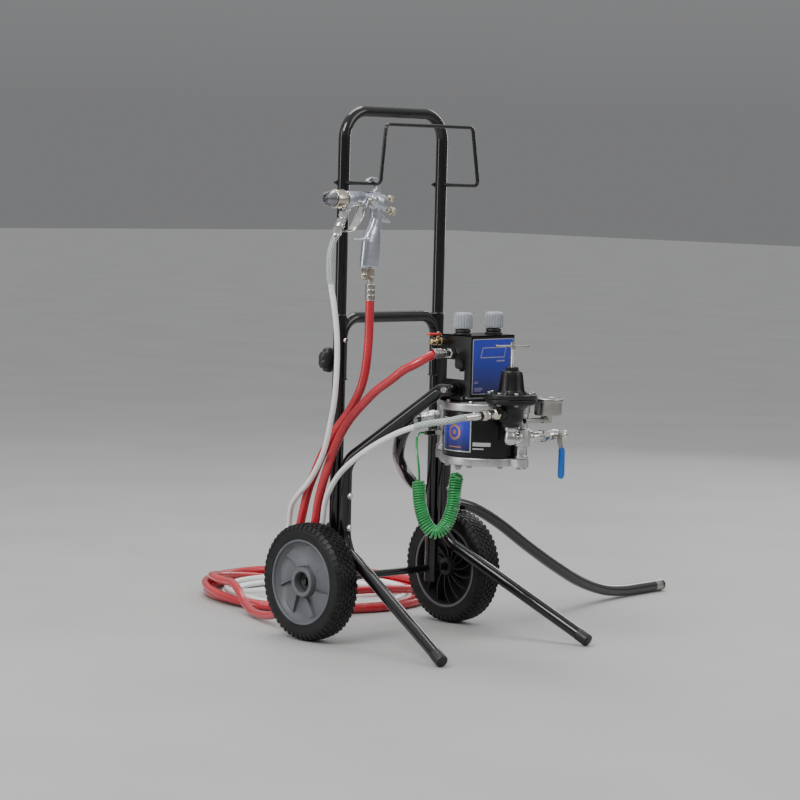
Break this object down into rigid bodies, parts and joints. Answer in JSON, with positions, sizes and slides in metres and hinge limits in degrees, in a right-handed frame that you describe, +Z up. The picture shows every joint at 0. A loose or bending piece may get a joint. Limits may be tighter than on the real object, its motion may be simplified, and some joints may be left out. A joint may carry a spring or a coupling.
{
  "type": "air-driven diaphragm pump paint sprayer cart",
  "caption": "Two-wheel tubular cart with an air-driven diaphragm paint pump, pressure controls, a hung spray gun, coiled hoses, a suction hose and a ground cord.",
  "frame": {"origin": "on the floor, under the middle of the footprint of everything but the hoses and cords", "axes": "+Z up; +X to the cart's right, along the axle; -Y to the front, where the pump and the feet are"},
  "size_m": [1.2773, 1.1986, 1.1487],
  "materials": {
    "frame_paint": "glossy black enamel",
    "pump_paint": "satin black coat",
    "sheet_paint": "black powder coat with blue panels",
    "black_plastic": "matt",
    "grey_plastic": "ribbed grey",
    "hub_plastic": "grey moulded",
    "tyre": "black tread",
    "rubber": "black",
    "steel": "turned steel",
    "chrome": "bright plated",
    "aluminium": "cast and machined",
    "gun_alloy": "satin silver",
    "brass": "satin brass",
    "red_plastic": "red grip",
    "blue_plastic": "blue grip",
    "white_hose": "glossy white",
    "red_hose": "glossy red",
    "black_hose": "glossy black",
    "green_cord": "green translucent"
  },
  "bodies": {
    "frame": {"left_upright": "frame_paint", "right_upright": "frame_paint", "cross_hoop": "frame_paint", "left_front_tube": "frame_paint", "right_front_tube": "frame_paint", "left_foot": "rubber", "right_foot": "rubber", "axle": "frame_paint", "pump_bracket": "sheet_paint", "panel_box": "sheet_paint", "panel_strut": "sheet_paint", "left_air_regulator": "black_plastic", "right_air_regulator": "black_plastic", "air_outlet_fitting": "steel", "air_valve_body": "brass", "pump_lower_cover": "aluminium", "pump_upper_cover": "aluminium", "pump_body": "pump_paint", "outlet_manifold": "chrome", "inlet_manifold": "aluminium", "ball_valve_body": "chrome", "fluid_regulator_body": "pump_paint", "fluid_regulator_bonnet": "pump_paint", "regulator_spring": "steel", "fluid_outlet_fitting": "chrome", "pressure_gauge": "steel", "white_hose_coil": "white_hose", "white_hose_pump_run": "white_hose", "white_hose_gun_run": "white_hose", "red_hose_coil": "red_hose", "red_hose_panel_run": "red_hose", "red_hose_gun_run": "red_hose", "suction_hose": "black_hose", "ground_cord_coil": "green_cord", "ground_lead": "green_cord", "ground_clamp": "steel"},
    "handle": {"handle_tube": "frame_paint", "gun_hanger": "frame_paint", "gun_body": "gun_alloy", "gun_fluid_fitting": "chrome", "gun_air_fitting": "chrome"},
    "left_wheel": {"left_wheel_hub": "hub_plastic", "left_tyre": "tyre"},
    "right_wheel": {"right_wheel_hub": "hub_plastic", "right_tyre": "tyre"},
    "clamp_screw": {"clamp_knob": "black_plastic"},
    "left_air_dial": {"left_air_knob": "grey_plastic"},
    "right_air_dial": {"right_air_knob": "grey_plastic"},
    "regulator_screw": {"pressure_screw": "steel"},
    "outlet_lever": {"ball_valve_lever": "blue_plastic"},
    "bleed_lever": {"air_valve_lever": "red_plastic"},
    "trigger": {"gun_trigger": "chrome"},
    "fluid_dial": {"gun_fluid_knob": "chrome"},
    "pattern_dial": {"gun_pattern_knob": "chrome"},
    "gun_air_dial": {"gun_air_knob": "chrome"},
    "ring_nut": {"gun_retaining_ring": "gun_alloy"},
    "air_cap": {"gun_air_cap": "gun_alloy"},
    "diaphragm_shuttle": {"diaphragm_rod": "steel", "lower_diaphragm": "rubber", "upper_diaphragm": "rubber"}
  },
  "joints": [
    {"name": "handle_slide", "type": "slide", "parent": "frame", "child": "handle", "axis": [0, 0, 1], "range_m": [-0.15, 0], "deforming": ["white_hose_gun_run", "red_hose_gun_run"]},
    {"name": "left_wheel_spin", "type": "hinge", "parent": "frame", "child": "left_wheel", "pos_m": [-0.19425, 0.17275, 0.127], "axis": [1, 0, 0], "continuous": true},
    {"name": "right_wheel_spin", "type": "hinge", "parent": "frame", "child": "right_wheel", "pos_m": [0.23875, 0.17275, 0.127], "axis": [1, 0, 0], "continuous": true},
    {"name": "clamp_knob_turn", "type": "hinge", "parent": "frame", "child": "clamp_screw", "pos_m": [-0.12475, 0.17275, 0.6], "axis": [0, 1, 0], "range_deg": [-720, 0]},
    {"name": "left_air_knob_turn", "type": "hinge", "parent": "frame", "child": "left_air_dial", "pos_m": [-0.02405, -0.09925, 0.7], "axis": [0, 0, 1], "range_deg": [-720, 720]},
    {"name": "right_air_knob_turn", "type": "hinge", "parent": "frame", "child": "right_air_dial", "pos_m": [0.06855, -0.09925, 0.7], "axis": [0, 0, 1], "range_deg": [-720, 720]},
    {"name": "pressure_screw_turn", "type": "hinge", "parent": "frame", "child": "regulator_screw", "pos_m": [-0.02375, -0.24525, 0.65], "axis": [0, 0, 1], "range_deg": [-1080, 1080]},
    {"name": "outlet_lever_turn", "type": "hinge", "parent": "frame", "child": "outlet_lever", "pos_m": [0.11325, -0.25625, 0.462], "axis": [0, -1, 0], "range_deg": [0, 90]},
    {"name": "bleed_lever_turn", "type": "hinge", "parent": "frame", "child": "bleed_lever", "pos_m": [-0.06275, -0.06475, 0.6675], "axis": [0, 0, 1], "range_deg": [0, 90]},
    {"name": "trigger_pull", "type": "hinge", "parent": "handle", "child": "trigger", "pos_m": [-0.14325, 0.08025, 0.9475], "axis": [0, -1, 0], "range_deg": [0, 12], "stiffness_Nm_per_rad": 2, "springref_deg": -17.19},
    {"name": "fluid_knob_turn", "type": "hinge", "parent": "handle", "child": "fluid_dial", "pos_m": [-0.09155, 0.08025, 0.9505], "axis": [1, 0, 0], "range_deg": [-720, 720]},
    {"name": "pattern_knob_turn", "type": "hinge", "parent": "handle", "child": "pattern_dial", "pos_m": [-0.08705, 0.08025, 0.9285], "axis": [0.9707, 0, -0.2402], "range_deg": [-720, 720]},
    {"name": "gun_air_knob_turn", "type": "hinge", "parent": "handle", "child": "gun_air_dial", "pos_m": [-0.14425, 0.08025, 0.804], "axis": [0, 0, -1], "range_deg": [-720, 720]},
    {"name": "retaining_ring_turn", "type": "hinge", "parent": "handle", "child": "ring_nut", "pos_m": [-0.20625, 0.08025, 0.949], "axis": [-1, 0, 0], "range_deg": [-720, 720]},
    {"name": "air_cap_turn", "type": "hinge", "parent": "handle", "child": "air_cap", "pos_m": [-0.24075, 0.08025, 0.949], "axis": [1, 0, 0], "range_deg": [-90, 90]},
    {"name": "diaphragm_stroke", "type": "slide", "parent": "frame", "child": "diaphragm_shuttle", "axis": [0, 0, 1], "range_m": [-0.007, 0.007]}
  ]
}
